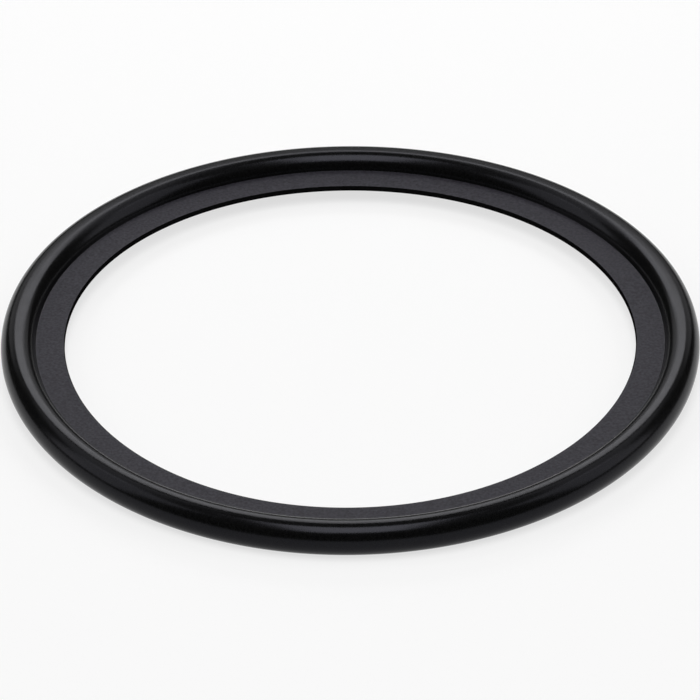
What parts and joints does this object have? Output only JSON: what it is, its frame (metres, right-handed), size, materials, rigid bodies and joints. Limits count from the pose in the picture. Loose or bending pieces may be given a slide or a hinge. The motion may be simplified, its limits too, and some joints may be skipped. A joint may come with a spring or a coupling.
{
  "type": "oil cooler seal",
  "caption": "Flat black rubber ring with a fat round bead round its rim and a thin flat web inside, which seals an oil cooler against the face it is clamped to.",
  "frame": {"origin": "centre of the ring, on its axis, at the middle of the web's thickness", "axes": "+Z along the ring's axis; the two sides are alike, and so are X and Y"},
  "size_m": [0.076, 0.076, 0.0038],
  "materials": {
    "black_rubber": "satin, smooth from the mould"
  },
  "bodies": {
    "root": {"seal_ring": "black_rubber"}
  },
  "joints": []
}
